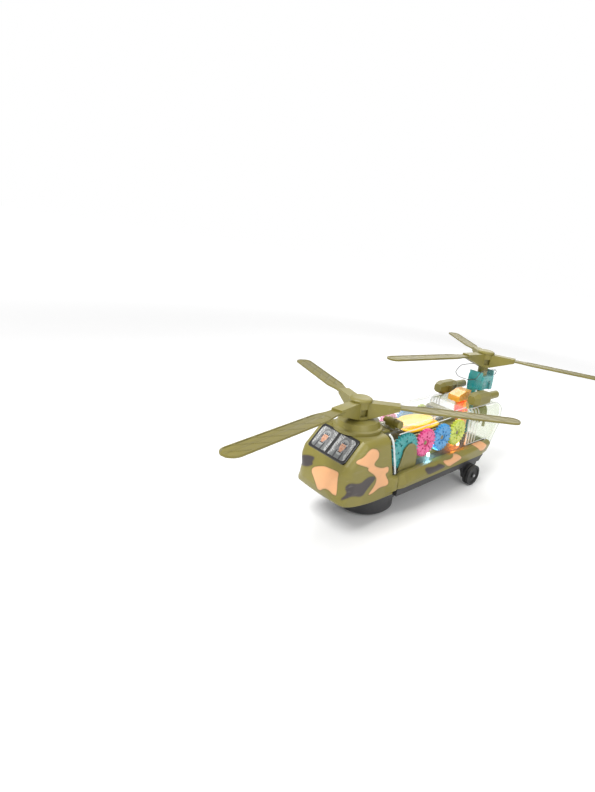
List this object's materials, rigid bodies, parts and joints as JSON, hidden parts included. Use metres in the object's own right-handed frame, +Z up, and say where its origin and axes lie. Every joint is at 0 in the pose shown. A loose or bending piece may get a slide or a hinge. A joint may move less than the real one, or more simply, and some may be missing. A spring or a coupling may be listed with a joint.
{
  "type": "toy helicopter",
  "caption": "Battery toy helicopter with tandem rotors, camouflage nose shell, clear covers over coloured spinning gears, and a turntable drive under the nose.",
  "frame": {"origin": "on the floor, on the axis of the turntable under the nose", "axes": "+X nose, +Y port side, +Z up"},
  "size_m": [0.4379, 0.2813, 0.1486],
  "materials": {
    "olive": "satin moulded plastic",
    "black": "satin",
    "dark_deck": "satin",
    "tread": "matte",
    "steel": "plain",
    "cell": "printed sleeve",
    "board": "etched board",
    "print": "printed label",
    "clear": "clear moulded plastic",
    "yellow": "translucent",
    "orange": "translucent",
    "red": "translucent",
    "teal": "satin",
    "cream": "satin",
    "lamp": "light diodes",
    "pink": "satin",
    "blue": "satin",
    "lime": "satin"
  },
  "bodies": {
    "fuselage": {"nose_shell": "olive", "turret_ring": "olive", "left_sponson": "olive", "right_sponson": "olive", "left_arch_panel": "olive", "right_arch_panel": "olive", "left_engine_pod": "olive", "right_engine_pod": "olive", "motor_cover": "olive", "rear_mast": "olive", "tail_door": "olive", "gear_frame": "olive", "roof_nub": "olive", "chassis_tray": "black", "battery_door": "black", "gear_deck": "dark_deck", "door_screws": "steel", "rear_axle": "steel", "motor": "steel", "battery_cells": "cell", "circuit_board": "board", "windscreen_panel": "print", "clear_cover": "clear", "tail_cover": "clear", "pylon_cover": "clear", "light_dish": "yellow", "rear_gearbox": "orange", "mast_bracket": "teal", "led_lamps": "lamp"},
    "turntable": {"turntable_drum": "black"},
    "drive_wheels": {"drive_wheels": "tread"},
    "rear_wheel_left": {"rear_wheel_left": "tread"},
    "rear_wheel_right": {"rear_wheel_right": "tread"},
    "sync_shaft": {"sync_shaft": "cream"},
    "red_gear": {"red_gear": "red"},
    "power_switch": {"power_switch": "black"},
    "front_rotor": {"front_rotor_hub": "olive", "front_rotor_cap": "olive", "front_rotor_shaft": "olive", "front_blade_1": "olive", "front_blade_2": "olive", "front_blade_3": "olive"},
    "rear_rotor": {"rear_rotor_hub": "olive", "rear_rotor_cap": "olive", "rear_rotor_shaft": "olive", "rear_blade_1": "olive", "rear_blade_2": "olive", "rear_blade_3": "olive"},
    "teal_gears": {"teal_axle": "olive", "teal_gear_left": "teal", "teal_gear_right": "teal"},
    "pink_gears": {"pink_axle": "olive", "pink_gear_left": "pink", "pink_gear_right": "pink"},
    "blue_gears": {"blue_axle": "olive", "blue_gear_left": "blue", "blue_gear_right": "blue"},
    "lime_gears": {"lime_axle": "olive", "lime_gear_left": "lime", "lime_gear_right": "lime"}
  },
  "joints": [
    {"name": "turntable_swivel", "type": "hinge", "parent": "fuselage", "child": "turntable", "pos_m": [0, 0, 0.0127], "axis": [0, 0, 1], "continuous": true},
    {"name": "drive_wheel_spin", "type": "hinge", "parent": "turntable", "child": "drive_wheels", "pos_m": [0, 0, 0.009], "axis": [0, 1, 0], "continuous": true},
    {"name": "rear_wheel_left_spin", "type": "hinge", "parent": "fuselage", "child": "rear_wheel_left", "pos_m": [-0.1303, 0.0406, 0.012], "axis": [0, 1, 0], "continuous": true},
    {"name": "rear_wheel_right_spin", "type": "hinge", "parent": "fuselage", "child": "rear_wheel_right", "pos_m": [-0.1303, -0.0406, 0.012], "axis": [0, 1, 0], "continuous": true},
    {"name": "front_rotor_spin", "type": "hinge", "parent": "fuselage", "child": "front_rotor", "pos_m": [0.0204, 0, 0.1097], "axis": [0, 0, 1], "continuous": true},
    {"name": "rear_rotor_spin", "type": "hinge", "parent": "fuselage", "child": "rear_rotor", "pos_m": [-0.1794, 0, 0.142], "axis": [0, 0, 1], "continuous": true},
    {"name": "sync_shaft_spin", "type": "hinge", "parent": "fuselage", "child": "sync_shaft", "pos_m": [0, 0, 0.054], "axis": [1, 0, 0], "continuous": true},
    {"name": "teal_gears_spin", "type": "hinge", "parent": "fuselage", "child": "teal_gears", "pos_m": [-0.01749, 0, 0.0645], "axis": [0, 1, 0], "continuous": true},
    {"name": "pink_gears_spin", "type": "hinge", "parent": "fuselage", "child": "pink_gears", "pos_m": [-0.0485, 0, 0.066], "axis": [0, 1, 0], "continuous": true},
    {"name": "blue_gears_spin", "type": "hinge", "parent": "fuselage", "child": "blue_gears", "pos_m": [-0.0761, 0, 0.066], "axis": [0, 1, 0], "continuous": true},
    {"name": "lime_gears_spin", "type": "hinge", "parent": "fuselage", "child": "lime_gears", "pos_m": [-0.1037, 0, 0.066], "axis": [0, 1, 0], "continuous": true},
    {"name": "red_gear_spin", "type": "hinge", "parent": "fuselage", "child": "red_gear", "pos_m": [-0.146, 0, 0.079], "axis": [0, 1, 0], "continuous": true},
    {"name": "power_switch_slide", "type": "slide", "parent": "fuselage", "child": "power_switch", "axis": [0, 1, 0], "range_m": [0, 0.0038]}
  ],
  "couplings": [
    {"joint": "pink_gears_spin", "follows": "teal_gears_spin", "ratio": -1.25},
    {"joint": "blue_gears_spin", "follows": "teal_gears_spin", "ratio": 1.25},
    {"joint": "lime_gears_spin", "follows": "teal_gears_spin", "ratio": -1.25},
    {"joint": "sync_shaft_spin", "follows": "front_rotor_spin", "ratio": 2},
    {"joint": "rear_rotor_spin", "follows": "front_rotor_spin", "ratio": -1}
  ]
}
